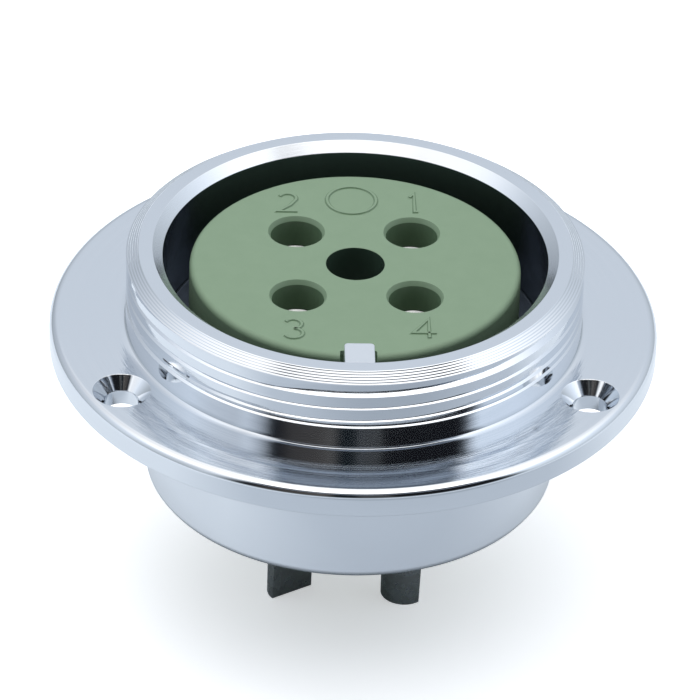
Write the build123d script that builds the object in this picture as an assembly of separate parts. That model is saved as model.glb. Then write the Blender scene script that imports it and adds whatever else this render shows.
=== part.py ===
"""A round-flange panel connector: female receptacle with four socket contacts and a screw coupling.

Millimetres. The origin is the centre of the flange's rear face, the face that lies on the panel.
+Z points out of the mouth, towards the mating plug, and the polarising key is on the -Y side.
Each separate piece of the connector is written as its own STEP file.
"""
from build123d import *
import os
from math import cos, radians, sin, sqrt, tan

# Flange
flange_diameter = 80.0
flange_thickness = 3.6
flange_front_radius = 1.15
flange_rear_chamfer = 0.4

# Screw holes: place and diameters as shares of the land between the barrel and the flange's rim
screw_circle_share = 0.5
screw_hole_share = 0.44
countersink_share = 0.755
screw_hole_count = 3
first_screw_angle = 90.0
countersink_angle = 90.0

# Coupling barrel: its diameter is the thread's crest diameter
barrel_diameter = 60.0
barrel_projection = 10.9
barrel_foot_chamfer = 0.4
mouth_diameter = 50.4
mouth_depth = 13.6

# Chamfers at the barrel's front, their widths as shares of its wall
lead_chamfer_share = 1 / 3
lead_chamfer_height = 1.1
mouth_bevel_share = 0.283
mouth_bevel_height = 1.2

# Polarising key, cast inside the mouth, and the lug below it
key_width = 3.9
key_insulator_gap = 0.35
key_corner_radius = 0.5
key_side_clearance = 0.45
key_end_clearance = 0.2

# Rear skirt, which passes through the panel
skirt_diameter = 54.4
skirt_length = 19.1
skirt_wall = 2.4
skirt_edge_radius = 1.2
skirt_mouth_chamfer = 0.5
web_thickness = 3.0

# Front insulator
insulator_setback = 2.4
insulator_edge_radius = 0.8
insulator_web_clearance = 0.25
insulator_flange_width = 2.9
insulator_flange_thickness = 4.0
notch_depth = 1.4
bore_clearance = 0.2

# Seal and rear insulator
seal_thickness = 1.0
seal_clearance = 0.3
rear_insulator_thickness = 5.0
rear_insulator_chamfer = 0.5

# Retaining ring in the skirt's groove
ring_thickness = 1.5
ring_width = 2.6
ring_groove_depth = 0.9
ring_groove_clearance = 0.1
ring_gap_angle = 16.0
ring_lug_radius = 1.7
ring_plier_hole_diameter = 1.6

# Contacts: a slotted socket in front, a collar, and a solder tail behind
contact_spacing = 15.2
contact_recess = 4.3
socket_bore_diameter = 5.0
socket_depth = 13.0
socket_wall = 0.45
socket_slot_width = 0.5
socket_slot_length = 10.0
socket_lead_chamfer = 0.2
collar_diameter = 8.4
collar_thickness = 2.0
contact_clearance = 0.15
contact_hole_cone_width = 0.35
contact_hole_cone_depth = 0.62

# Hood over each slotted socket
hood_wall = 0.27
hood_gap = 0.03
hood_length = 11.0
hood_lip = 0.35
hood_lip_overlap = 0.3
hood_rim_land = 0.08
hood_funnel_depth = 0.25
hood_end_gap = 0.05

# Solder tails: round bars with a flat milled on one side, where the wire is soldered
tail_diameter = 6.16
tail_projection = 16.2
tail_flat_length = 6.9
tail_flat_offset = 0.45
tail_flat_slope = 2.5
tail_flat_corner_radius = 0.5

# Each contact's place around the axis, and the way its flat faces
contact_angles = (45.0, 135.0, 225.0, 315.0)
tail_facing_turns = (84.0, 84.0, 76.0, 76.0)

# Clamping screw, spring washer and nut in the middle of the insulators
screw_diameter = 4.0
screw_clearance = 0.2
screw_head_diameter = 7.0
screw_head_height = 2.6
screw_slot_width = 1.2
screw_slot_depth = 1.3
screw_end_chamfer = 0.4
screw_nut_overrun = 0.8
centre_hole_diameter = 7.7
centre_hole_depth = 11.0
washer_thickness = 1.2
washer_slit_width = 0.6
washer_slit_slope = 20.0
thread_gap = 0.03
nut_width = 7.0
nut_thickness = 3.2
nut_pocket_clearance = 0.15
nut_pocket_depth = 3.4

# Radii
flange_radius = flange_diameter / 2
barrel_radius = barrel_diameter / 2
mouth_radius = mouth_diameter / 2
barrel_wall = barrel_radius - mouth_radius
lead_chamfer_width = barrel_wall * lead_chamfer_share
mouth_bevel_width = barrel_wall * mouth_bevel_share
flange_land = flange_radius - barrel_radius
screw_circle_radius = barrel_radius + flange_land * screw_circle_share
screw_hole_radius = flange_land * screw_hole_share / 2
countersink_radius = flange_land * countersink_share / 2
skirt_radius = skirt_diameter / 2
rear_bore_radius = skirt_radius - skirt_wall
ring_groove_radius = rear_bore_radius + ring_groove_depth
insulator_flange_radius = rear_bore_radius - bore_clearance
insulator_radius = insulator_flange_radius - insulator_flange_width
web_radius = insulator_radius + insulator_web_clearance
notch_floor_radius = insulator_radius - notch_depth
key_inner_radius = insulator_radius + key_insulator_gap
socket_bore_radius = socket_bore_diameter / 2
socket_radius = socket_bore_radius + socket_wall
hood_inner_radius = socket_radius + hood_gap
hood_radius = hood_inner_radius + hood_wall
contact_hole_radius = hood_radius + contact_clearance
collar_radius = collar_diameter / 2
tail_radius = tail_diameter / 2
contact_circle_radius = contact_spacing / sqrt(2)
centre_hole_radius = centre_hole_diameter / 2
screw_radius = screw_diameter / 2

# Heights
flange_front = flange_thickness
mouth_height = flange_front + barrel_projection
mouth_floor = mouth_height - mouth_depth
seat_height = mouth_floor - web_thickness
insulator_face = mouth_height - insulator_setback
insulator_flange_front = seat_height - seal_thickness
insulator_rear = insulator_flange_front - insulator_flange_thickness
rear_insulator_rear = insulator_rear - rear_insulator_thickness
ring_rear = rear_insulator_rear - ring_thickness
skirt_end = -skirt_length
hood_rim = insulator_face - contact_recess
hood_seat = hood_rim - hood_length
socket_top = hood_rim - hood_lip - hood_end_gap
socket_bottom = socket_top - socket_depth
collar_front = insulator_rear + collar_thickness
tail_tip = skirt_end - tail_projection
centre_hole_floor = insulator_face - centre_hole_depth
screw_head_seat = centre_hole_floor + washer_thickness
nut_seat = rear_insulator_rear + nut_pocket_depth
screw_end = nut_seat - nut_thickness - screw_nut_overrun


def turned(*points):
    """A solid turned about Z from (radius, height) points."""
    outline = make_face(Polyline(*points, close=True))
    return revolve(Plane.XZ * outline, Axis.Z)


def upright(radius, low, high):
    """A round bar on Z from one height to another."""
    return Pos(0, 0, low) * extrude(Circle(radius), high - low)


def block(width, near, far, low, high):
    """A square-edged block across the -Y side, between two distances from the axis."""
    outline = Pos(0, -(near + far) / 2) * Rectangle(width, far - near)
    return Pos(0, 0, low) * extrude(outline, high - low)


def round_edges(part, radius, height):
    """The full-circle edges of a turned part at one radius and height."""
    def is_there(edge):
        same_height = abs(edge.center(CenterOf.BOUNDING_BOX).Z - height) < 1e-4
        return same_height and abs(edge.radius - radius) < 1e-4
    return ShapeList([edge for edge in part.edges().filter_by(GeomType.CIRCLE) if is_there(edge)])


def around(radius, angle):
    """A place at a distance from the axis and an angle from +X."""
    return Pos(radius * cos(radians(angle)), radius * sin(radians(angle)), 0)


def make_shell():
    """Flange, coupling barrel, key, seat web and rear skirt, cast and turned in one piece."""
    shell = turned(
        (mouth_radius, mouth_floor),
        (mouth_radius, mouth_height - mouth_bevel_height),
        (mouth_radius + mouth_bevel_width, mouth_height),
        (barrel_radius - lead_chamfer_width, mouth_height),
        (barrel_radius, mouth_height - lead_chamfer_height),
        (barrel_radius, flange_front + barrel_foot_chamfer),
        (barrel_radius + barrel_foot_chamfer, flange_front),
        (flange_radius, flange_front),
        (flange_radius, flange_rear_chamfer),
        (flange_radius - flange_rear_chamfer, 0),
        (skirt_radius, 0),
        (skirt_radius, skirt_end),
        (rear_bore_radius + skirt_mouth_chamfer, skirt_end),
        (rear_bore_radius, skirt_end + skirt_mouth_chamfer),
        (rear_bore_radius, ring_rear),
        (ring_groove_radius, ring_rear),
        (ring_groove_radius, rear_insulator_rear + ring_groove_clearance),
        (rear_bore_radius, rear_insulator_rear + ring_groove_clearance),
        (rear_bore_radius, seat_height),
        (web_radius, seat_height),
        (web_radius, mouth_floor),
    )
    shell = fillet(round_edges(shell, flange_radius, flange_front), flange_front_radius)
    shell = fillet(round_edges(shell, skirt_radius, skirt_end), skirt_edge_radius)

    # The key's top is flush with the mouth's face, and it fills the bevel where it joins the wall
    key_root_radius = mouth_radius + mouth_bevel_width
    key = block(key_width, key_inner_radius, key_root_radius, mouth_floor, mouth_height)
    key_corners = key.edges().filter_by(Axis.Z).group_by(Axis.Y)[-1]
    shell += fillet(key_corners, key_corner_radius)

    # A lug on the seat web reaches into the insulator's notch and keeps it from turning
    lug_inner_radius = notch_floor_radius + key_end_clearance
    shell += block(key_width, lug_inner_radius, mouth_radius, seat_height, mouth_floor)

    countersink_depth = (countersink_radius - screw_hole_radius) / tan(radians(countersink_angle / 2))
    screw_hole = turned(
        (0, 0),
        (screw_hole_radius, 0),
        (screw_hole_radius, flange_front - countersink_depth),
        (countersink_radius, flange_front),
        (0, flange_front),
    )
    for number in range(screw_hole_count):
        angle = first_screw_angle + number * 360 / screw_hole_count
        shell -= around(screw_circle_radius, angle) * screw_hole
    return shell


def make_front_insulator():
    """The moulded disc that shows in the mouth, with the contacts' holes and the notch at the key."""
    insulator = turned(
        (0, insulator_rear),
        (insulator_flange_radius, insulator_rear),
        (insulator_flange_radius, insulator_flange_front),
        (insulator_radius, insulator_flange_front),
        (insulator_radius, insulator_face),
        (0, insulator_face),
    )
    face_edge = round_edges(insulator, insulator_radius, insulator_face)
    insulator = fillet(face_edge, insulator_edge_radius)

    notch_width = key_width + 2 * key_side_clearance
    insulator -= block(notch_width, notch_floor_radius, mouth_radius, insulator_flange_front, insulator_face)

    contact_hole = turned(
        (0, insulator_rear),
        (collar_radius + contact_clearance, insulator_rear),
        (collar_radius + contact_clearance, collar_front),
        (contact_hole_radius, collar_front),
        (contact_hole_radius, insulator_face - contact_hole_cone_depth),
        (contact_hole_radius + contact_hole_cone_width, insulator_face),
        (0, insulator_face),
    )
    for angle in contact_angles:
        insulator -= around(contact_circle_radius, angle) * contact_hole

    insulator -= upright(centre_hole_radius, centre_hole_floor, insulator_face)
    insulator -= upright(screw_radius + screw_clearance, insulator_rear, centre_hole_floor)
    return insulator


def make_insulator_seal():
    """Flat rubber ring between the shell's seat and the front insulator's flange."""
    ring = Circle(insulator_flange_radius) - Circle(insulator_radius + seal_clearance)
    return Pos(0, 0, insulator_flange_front) * extrude(ring, seal_thickness)


def make_rear_insulator():
    """The disc behind the contacts' collars, with a six-sided pocket for the clamping nut."""
    insulator = turned(
        (0, rear_insulator_rear),
        (insulator_flange_radius - rear_insulator_chamfer, rear_insulator_rear),
        (insulator_flange_radius, rear_insulator_rear + rear_insulator_chamfer),
        (insulator_flange_radius, insulator_rear),
        (0, insulator_rear),
    )
    for angle in contact_angles:
        hole = upright(tail_radius + contact_clearance, rear_insulator_rear, insulator_rear)
        insulator -= around(contact_circle_radius, angle) * hole
    pocket_apothem = nut_width / 2 + nut_pocket_clearance
    pocket = RegularPolygon(pocket_apothem, 6, major_radius=False)
    insulator -= Pos(0, 0, rear_insulator_rear) * extrude(pocket, nut_pocket_depth)
    insulator -= upright(screw_radius + screw_clearance, rear_insulator_rear, insulator_rear)
    return insulator


def make_retaining_ring():
    """Open spring ring in the skirt's groove, with two lugs and their plier holes."""
    outer_radius = ring_groove_radius - ring_groove_clearance
    inner_radius = outer_radius - ring_width
    ring = Circle(outer_radius) - Circle(inner_radius)
    lug_reach = inner_radius + ring_width / 2 - ring_lug_radius / 2
    half_gap = ring_gap_angle / 2
    opening_reach = outer_radius * 1.5
    opening = make_face(
        Polyline(
            (0, 0),
            (opening_reach * sin(radians(-half_gap)), opening_reach * cos(radians(half_gap))),
            (opening_reach * sin(radians(half_gap)), opening_reach * cos(radians(half_gap))),
            close=True,
        )
    )
    ring -= opening
    for side in (-1, 1):
        lug_place = around(lug_reach, 90 + side * half_gap)
        ring += lug_place * Circle(ring_lug_radius)
    for side in (-1, 1):
        lug_place = around(lug_reach, 90 + side * half_gap)
        ring -= lug_place * Circle(ring_plier_hole_diameter / 2)
    return Pos(0, 0, ring_rear) * extrude(ring, ring_thickness)


def tail_flat():
    """What is milled off a solder tail on its +X side, with a rounded inner corner."""
    depth = 2 * tail_radius
    cutter = Pos(depth / 2, 0, 0) * Box(depth, 2 * depth, 2 * tail_flat_length)
    inner_edge = cutter.edges().filter_by(Axis.Y).group_by(Axis.Z)[-1].sort_by(Axis.X)[0]
    cutter = fillet(inner_edge, tail_flat_corner_radius)
    return Pos(tail_flat_offset, 0, tail_tip) * Rot(0, tail_flat_slope, 0) * cutter


def make_contact(angle, facing_turn):
    """One turned contact: slotted socket, seat for its hood, collar and solder tail."""
    contact = turned(
        (0, tail_tip),
        (tail_radius, tail_tip),
        (tail_radius, insulator_rear),
        (collar_radius, insulator_rear),
        (collar_radius, collar_front),
        (hood_radius, collar_front),
        (hood_radius, hood_seat),
        (socket_radius, hood_seat),
        (socket_radius, socket_top),
        (0, socket_top),
    )
    contact -= turned(
        (0, socket_bottom),
        (socket_bore_radius, socket_bottom),
        (socket_bore_radius, socket_top - socket_lead_chamfer),
        (socket_bore_radius + socket_lead_chamfer, socket_top),
        (0, socket_top),
    )
    slot_bottom = socket_top - socket_slot_length
    for turn in (0, 90):
        slot = extrude(Rectangle(3 * socket_radius, socket_slot_width), socket_slot_length)
        contact -= Pos(0, 0, slot_bottom) * Rot(0, 0, turn) * slot

    contact -= tail_flat()
    return around(contact_circle_radius, angle) * Rot(0, 0, angle + facing_turn) * contact


def make_contact_hood(angle):
    """Thin drawn sleeve over a slotted socket, turned in at the front to guide the pin."""
    lip_radius = hood_inner_radius - hood_lip_overlap
    hood = turned(
        (hood_inner_radius, hood_seat),
        (hood_radius, hood_seat),
        (hood_radius, hood_rim),
        (hood_radius - hood_rim_land, hood_rim),
        (lip_radius, hood_rim - hood_funnel_depth),
        (lip_radius, hood_rim - hood_lip),
        (hood_inner_radius, hood_rim - hood_lip),
    )
    return around(contact_circle_radius, angle) * hood


def make_clamp_screw():
    """Slotted cheese-head screw that clamps the two insulators together."""
    head_radius = screw_head_diameter / 2
    screw_top = screw_head_seat + screw_head_height
    screw = turned(
        (0, screw_end),
        (screw_radius - screw_end_chamfer, screw_end),
        (screw_radius, screw_end + screw_end_chamfer),
        (screw_radius, screw_head_seat),
        (head_radius, screw_head_seat),
        (head_radius, screw_top),
        (0, screw_top),
    )
    slot = extrude(Rectangle(screw_head_diameter * 1.2, screw_slot_width), screw_slot_depth)
    return screw - Pos(0, 0, screw_top - screw_slot_depth) * slot


def make_spring_washer():
    """Split spring washer under the clamping screw's head."""
    inner_radius = screw_radius + thread_gap
    outer_radius = screw_head_diameter / 2
    washer = extrude(Circle(outer_radius) - Circle(inner_radius), washer_thickness)
    slit = Box(2 * outer_radius, washer_slit_width, 4 * washer_thickness)
    slit = Pos(outer_radius, 0, washer_thickness / 2) * Rot(washer_slit_slope, 0, 0) * slit
    return Pos(0, 0, centre_hole_floor) * (washer - slit)


def make_clamp_nut():
    """Six-sided nut in the rear insulator's pocket, with its corners turned off at both ends."""
    blank = extrude(RegularPolygon(nut_width / 2, 6, major_radius=False), nut_thickness)
    corner_radius = nut_width / sqrt(3)
    corner_drop = (corner_radius - nut_width / 2) * tan(radians(30))
    turned_form = turned(
        (0, 0),
        (nut_width / 2, 0),
        (corner_radius, corner_drop),
        (corner_radius, nut_thickness - corner_drop),
        (nut_width / 2, nut_thickness),
        (0, nut_thickness),
    )
    nut = (blank & turned_form) - upright(screw_radius + thread_gap, 0, nut_thickness)
    return Pos(0, 0, nut_seat - nut_thickness) * nut


def make_pieces():
    """Every piece of the connector by its name."""
    pieces = {
        "shell": make_shell(),
        "front_insulator": make_front_insulator(),
        "insulator_seal": make_insulator_seal(),
        "rear_insulator": make_rear_insulator(),
        "retaining_ring": make_retaining_ring(),
        "clamp_screw": make_clamp_screw(),
        "spring_washer": make_spring_washer(),
        "clamp_nut": make_clamp_nut(),
    }
    for number, (angle, facing_turn) in enumerate(zip(contact_angles, tail_facing_turns), start=1):
        pieces[f"contact_{number}"] = make_contact(angle, facing_turn)
        pieces[f"contact_hood_{number}"] = make_contact_hood(angle)
    return pieces


os.makedirs("parts", exist_ok=True)
for name, piece in make_pieces().items():
    export_step(piece, f"parts/{name}.step")
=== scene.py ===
"""Visual model of a round-flange panel connector with a threaded coupling barrel.

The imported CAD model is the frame. The shell and the front insulator are built again here as finer
meshes, with the thread, the turning ridges and the raised digits, and the other pieces keep their
CAD shapes under detailed finishes. Sizes are in millimetres in the dataclasses and in metres in Blender.
"""

import logging
import math
from dataclasses import dataclass
from enum import Enum, IntEnum

import bmesh
import bpy
from mathutils import Matrix, Vector


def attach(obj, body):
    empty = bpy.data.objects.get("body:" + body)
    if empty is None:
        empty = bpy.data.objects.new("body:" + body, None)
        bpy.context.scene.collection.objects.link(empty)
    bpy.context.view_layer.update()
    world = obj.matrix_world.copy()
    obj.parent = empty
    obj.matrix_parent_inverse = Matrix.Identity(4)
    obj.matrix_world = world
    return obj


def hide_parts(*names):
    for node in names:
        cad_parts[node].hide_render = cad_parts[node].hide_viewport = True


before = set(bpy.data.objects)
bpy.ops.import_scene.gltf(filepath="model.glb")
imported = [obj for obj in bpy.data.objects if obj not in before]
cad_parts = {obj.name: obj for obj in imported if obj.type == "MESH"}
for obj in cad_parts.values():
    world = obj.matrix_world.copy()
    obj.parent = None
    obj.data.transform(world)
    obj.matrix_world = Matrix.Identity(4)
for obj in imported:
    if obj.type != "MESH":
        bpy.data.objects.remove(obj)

LOG = logging.getLogger("connector")
MM = 0.001
BODY = "root"
Ring = list[bmesh.types.BMVert]
ProfilePoint = tuple[float, float]
Span = tuple[float, float]

# Red, green and blue as linear light, which may be over 1
Tone = tuple[float, float, float]

# Points closer than this are one point, and edges shorter than this go, in metres
WELD = 1e-7
SLIVER = 1e-8


class Slot(Enum):
    """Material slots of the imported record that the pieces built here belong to."""

    CHROME = "chrome_plate"
    GREEN = "green_moulding"


# Node helpers


def linear(hex_colour: str) -> tuple[float, float, float, float]:
    """Turns an sRGB hex colour to the linear colour that a shader takes.

    Args:
        hex_colour: A colour such as "#8ca78e".

    Returns:
        Red, green, blue and alpha.
    """
    values = [int(hex_colour[i : i + 2], 16) / 255 for i in (1, 3, 5)]
    parts = [v / 12.92 if v <= 0.04045 else ((v + 0.055) / 1.055) ** 2.4 for v in values]
    return (parts[0], parts[1], parts[2], 1.0)


def add_node(
    tree: bpy.types.NodeTree, kind: str, sockets: dict | None = None, **settings: object
) -> bpy.types.Node:
    """Adds one node with its settings, values and links.

    Args:
        tree: The node tree that gets the node.
        kind: The node's type name.
        sockets: Values or output sockets, by input name or index.
        **settings: Properties of the node itself.

    Returns:
        The new node.
    """
    node = tree.nodes.new(kind)
    for name, value in settings.items():
        setattr(node, name, value)
    for name, value in (sockets or {}).items():
        if isinstance(value, bpy.types.NodeSocket):
            tree.links.new(value, node.inputs[name])
        else:
            node.inputs[name].default_value = value
    return node


def set_ramp(node: bpy.types.Node, stops: list[tuple[float, tuple[float, ...]]]) -> None:
    """Gives a colour ramp its stops.

    Args:
        node: A colour ramp node.
        stops: Place and linear colour of each stop, in order.
    """
    elements = node.color_ramp.elements
    while len(elements) > 1:
        elements.remove(elements[-1])
    elements[0].position, elements[0].color = stops[0]
    for place, colour in stops[1:]:
        elements.new(place).color = colour


def start_material(name: str) -> tuple[bpy.types.Material, bpy.types.NodeTree, bpy.types.Node]:
    """A new material with only its output and a principled shader.

    Args:
        name: The material's name.

    Returns:
        The material, its node tree and the principled shader.
    """
    material = bpy.data.materials.new(name)
    material.use_nodes = True
    tree = material.node_tree
    tree.nodes.clear()
    shader = add_node(tree, "ShaderNodeBsdfPrincipled")
    add_node(tree, "ShaderNodeOutputMaterial", {"Surface": shader.outputs["BSDF"]})
    return material, tree, shader


# Finishes


@dataclass(frozen=True)
class TurnedChrome:
    """Bright chrome plate on a turned zinc casting.

    The cutter's feed leaves fine rings about the axis, which the thin plate follows. The plate is a
    mirror, so the rings show as streaks where a bright and a dark surrounding meet.

    Attributes:
        name: The material's name.
        tint: Plate colour.
        roughness: Blur of the polished plate.
        feed_mm: Width of one pass of the cutter. A real pass is about 0.1 mm.
        wave_mm: Height of the rings.
        scratch: Strength of the hairline scratches.
        scratch_mm: Their depth.
        drift_mm: Width of the slower rings that the cutter's drift adds.
        drift_height_mm: Height of those.
        film_mm: Size of the patches of duller film that handling leaves.
        film_blur: How much blur the film adds.
    """

    name: str = "turned_chrome_plate"
    tint: str = "#dfe3e8"
    roughness: float = 0.05
    feed_mm: float = 0.16
    wave_mm: float = 0.0016
    scratch: float = 0.25
    scratch_mm: float = 0.004
    drift_mm: float = 0.9
    drift_height_mm: float = 0.0
    film_mm: float = 9.0
    film_blur: float = 0.05

    def material(self) -> bpy.types.Material:
        """Builds the finish.

        Returns:
            The material.
        """
        material, tree, shader = start_material(self.name)
        place = add_node(tree, "ShaderNodeTexCoord").outputs["Object"]
        split = add_node(tree, "ShaderNodeSeparateXYZ", {0: place})
        flat = add_node(tree, "ShaderNodeCombineXYZ", {0: split.outputs[0], 1: split.outputs[1]})
        radius = add_node(tree, "ShaderNodeVectorMath", {0: flat.outputs[0]}, operation="LENGTH")
        rings = add_node(
            tree, "ShaderNodeCombineXYZ", {0: radius.outputs["Value"], 1: split.outputs[2]}
        )
        turning = add_node(
            tree,
            "ShaderNodeTexNoise",
            {"Vector": rings.outputs[0], "Scale": 1 / (self.feed_mm * MM), "Detail": 3.0, "Roughness": 0.6},
            noise_dimensions="2D",
        )
        waves = add_node(
            tree,
            "ShaderNodeTexNoise",
            {"Vector": rings.outputs[0], "Scale": 1 / (self.drift_mm * MM), "Detail": 4.0, "Roughness": 0.7},
            noise_dimensions="2D",
        )
        # Long scratches: noise drawn out along one direction, with only its peaks kept
        skew = add_node(
            tree,
            "ShaderNodeMapping",
            {"Vector": place, "Rotation": (0.3, 0.5, 0.9), "Scale": (4500.0, 90.0, 900.0)},
        )
        hair = add_node(
            tree, "ShaderNodeTexNoise", {"Vector": skew.outputs[0], "Scale": 1.0, "Detail": 1.0}
        )
        thin = add_node(tree, "ShaderNodeValToRGB", {"Fac": hair.outputs["Fac"]})
        set_ramp(thin, [(0.0, (0, 0, 0, 1)), (0.73, (0, 0, 0, 1)), (0.76, (1, 1, 1, 1))])
        first = add_node(
            tree,
            "ShaderNodeBump",
            {"Height": turning.outputs["Fac"], "Distance": self.wave_mm * MM, "Strength": 1.0},
        )
        under = add_node(
            tree,
            "ShaderNodeBump",
            {
                "Height": waves.outputs["Fac"],
                "Distance": self.drift_height_mm * MM,
                "Strength": 1.0,
                "Normal": first.outputs[0],
            },
        )
        second = add_node(
            tree,
            "ShaderNodeBump",
            {
                "Height": thin.outputs["Color"],
                "Distance": self.scratch_mm * MM,
                "Strength": self.scratch,
                "Normal": under.outputs[0],
            },
            invert=True,
        )
        film = add_node(
            tree, "ShaderNodeTexNoise", {"Vector": place, "Scale": 1 / (self.film_mm * MM), "Detail": 4.0}
        )
        dull = add_node(
            tree,
            "ShaderNodeMapRange",
            {
                "Value": film.outputs["Fac"],
                "From Min": 0.4,
                "From Max": 0.8,
                "To Min": self.roughness,
                "To Max": self.roughness + self.film_blur,
            },
        )
        shader.inputs["Base Color"].default_value = linear(self.tint)
        shader.inputs["Metallic"].default_value = 1.0
        tree.links.new(dull.outputs[0], shader.inputs["Roughness"])
        tree.links.new(second.outputs[0], shader.inputs["Normal"])
        return material


@dataclass(frozen=True)
class CastChrome:
    """Chrome plate on the key's cast top, which no tool has touched.

    The die's rough skin shows through the plate as a dull grain with bright specks.

    Attributes:
        name: The material's name.
        tint: Plate colour.
        roughness: Blur of the plate.
        grain_mm: Size of the cast grain.
        pit_mm: Distance between the pits.
        relief_mm: Depth of grain and pits.
    """

    name: str = "cast_chrome_plate"
    tint: str = "#dfe4ea"
    roughness: float = 0.34
    grain_mm: float = 0.35
    pit_mm: float = 0.7
    relief_mm: float = 0.03

    def material(self) -> bpy.types.Material:
        """Builds the finish.

        Returns:
            The material.
        """
        material, tree, shader = start_material(self.name)
        place = add_node(tree, "ShaderNodeTexCoord").outputs["Object"]
        grain = add_node(
            tree,
            "ShaderNodeTexNoise",
            {"Vector": place, "Scale": 1 / (self.grain_mm * MM), "Detail": 5.0, "Roughness": 0.65},
        )
        pits = add_node(
            tree,
            "ShaderNodeTexVoronoi",
            {"Vector": place, "Scale": 1 / (self.pit_mm * MM), "Randomness": 1.0},
        )
        pit = add_node(
            tree,
            "ShaderNodeMapRange",
            {"Value": pits.outputs["Distance"], "From Min": 0.0, "From Max": 0.2},
        )
        height = add_node(
            tree,
            "ShaderNodeMath",
            {0: grain.outputs["Fac"], 1: pit.outputs[0]},
            operation="ADD",
        )
        bump = add_node(
            tree,
            "ShaderNodeBump",
            {"Height": height.outputs[0], "Distance": self.relief_mm * MM, "Strength": 0.55},
        )
        shader.inputs["Base Color"].default_value = linear(self.tint)
        shader.inputs["Metallic"].default_value = 1.0
        shader.inputs["Roughness"].default_value = self.roughness
        tree.links.new(bump.outputs[0], shader.inputs["Normal"])
        return material


@dataclass(frozen=True)
class MouldedInsulator:
    """Green glass-filled phenolic or polyester moulding, matt from the mould.

    The resin's skin is smooth and slightly waxy, the filler gives a faint mottling, and the mould's
    spark-eroded steel leaves a fine even grain.

    Attributes:
        name: The material's name.
        colour: Body colour.
        pale: Colour where filler lies near the skin.
        gloss: How much smoother the skin is than on the face.
        roughness: Least and greatest roughness of the face.
        grain_mm: Grain left by the mould, drawn coarser than the real 0.03 mm so that it shows.
        grain_depth_mm: Depth of that grain.
        mottle_mm: Size of the mottling.
    """

    name: str = "moulded_green_phenolic"
    colour: str = "#758d73"
    pale: str = "#7e957c"
    gloss: float = 0.0
    roughness: Span = (0.42, 0.56)
    grain_mm: float = 0.22
    grain_depth_mm: float = 0.012
    mottle_mm: float = 2.5

    def material(self) -> bpy.types.Material:
        """Builds the finish.

        Returns:
            The material.
        """
        material, tree, shader = start_material(self.name)
        place = add_node(tree, "ShaderNodeTexCoord").outputs["Object"]
        mottle = add_node(
            tree,
            "ShaderNodeTexNoise",
            {"Vector": place, "Scale": 1 / (self.mottle_mm * MM), "Detail": 6.0, "Roughness": 0.6},
        )
        blend = add_node(
            tree,
            "ShaderNodeMix",
            {"Factor": mottle.outputs["Fac"], 6: linear(self.colour), 7: linear(self.pale)},
            data_type="RGBA",
        )
        grain = add_node(
            tree,
            "ShaderNodeTexNoise",
            {"Vector": place, "Scale": 1 / (self.grain_mm * MM), "Detail": 3.0, "Roughness": 0.5},
        )
        bump = add_node(
            tree,
            "ShaderNodeBump",
            {"Height": grain.outputs["Fac"], "Distance": self.grain_depth_mm * MM, "Strength": 0.5},
        )
        sheen = add_node(
            tree,
            "ShaderNodeMapRange",
            {
                "Value": mottle.outputs["Fac"],
                "To Min": self.roughness[0] - self.gloss,
                "To Max": self.roughness[1] - self.gloss,
            },
        )
        tree.links.new(blend.outputs[2], shader.inputs["Base Color"])
        tree.links.new(sheen.outputs[0], shader.inputs["Roughness"])
        tree.links.new(bump.outputs[0], shader.inputs["Normal"])
        shader.inputs["IOR"].default_value = 1.5
        shader.inputs["Specular IOR Level"].default_value = 0.4
        return material


@dataclass(frozen=True)
class DrawnMetal:
    """Plated or plain metal that was turned or drawn along its own length.

    Attributes:
        name: The material's name.
        tint: Surface colour.
        stain: Colour of the tarnish or oil film in patches.
        roughness: Blur of the surface.
        line_mm: Spacing of the tool or drawing marks.
        line_height_mm: Height of the marks.
        patch_mm: Size of the patches.
        patch_blur: How much blur the patches add.
    """

    name: str
    tint: str
    stain: str
    roughness: float
    line_mm: float
    line_height_mm: float
    patch_mm: float = 1.8
    patch_blur: float = 0.15

    def material(self) -> bpy.types.Material:
        """Builds the finish.

        Returns:
            The material.
        """
        material, tree, shader = start_material(self.name)
        place = add_node(tree, "ShaderNodeTexCoord").outputs["Object"]
        split = add_node(tree, "ShaderNodeSeparateXYZ", {0: place})
        lines = add_node(
            tree,
            "ShaderNodeTexNoise",
            {"W": split.outputs[2], "Scale": 1 / (self.line_mm * MM), "Detail": 2.0},
            noise_dimensions="1D",
        )
        patches = add_node(
            tree,
            "ShaderNodeTexNoise",
            {"Vector": place, "Scale": 1 / (self.patch_mm * MM), "Detail": 5.0, "Roughness": 0.6},
        )
        blend = add_node(tree, "ShaderNodeMix", {"Factor": patches.outputs["Fac"]}, data_type="RGBA")
        blend.inputs[6].default_value = linear(self.tint)
        blend.inputs[7].default_value = linear(self.stain)
        rough = add_node(
            tree,
            "ShaderNodeMapRange",
            {
                "Value": patches.outputs["Fac"],
                "From Min": 0.3,
                "From Max": 0.8,
                "To Min": self.roughness,
                "To Max": self.roughness + self.patch_blur,
            },
        )
        bump = add_node(
            tree,
            "ShaderNodeBump",
            {"Height": lines.outputs["Fac"], "Distance": self.line_height_mm * MM, "Strength": 0.6},
        )
        tree.links.new(blend.outputs[2], shader.inputs["Base Color"])
        tree.links.new(rough.outputs[0], shader.inputs["Roughness"])
        tree.links.new(bump.outputs[0], shader.inputs["Normal"])
        shader.inputs["Metallic"].default_value = 1.0
        return material


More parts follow.
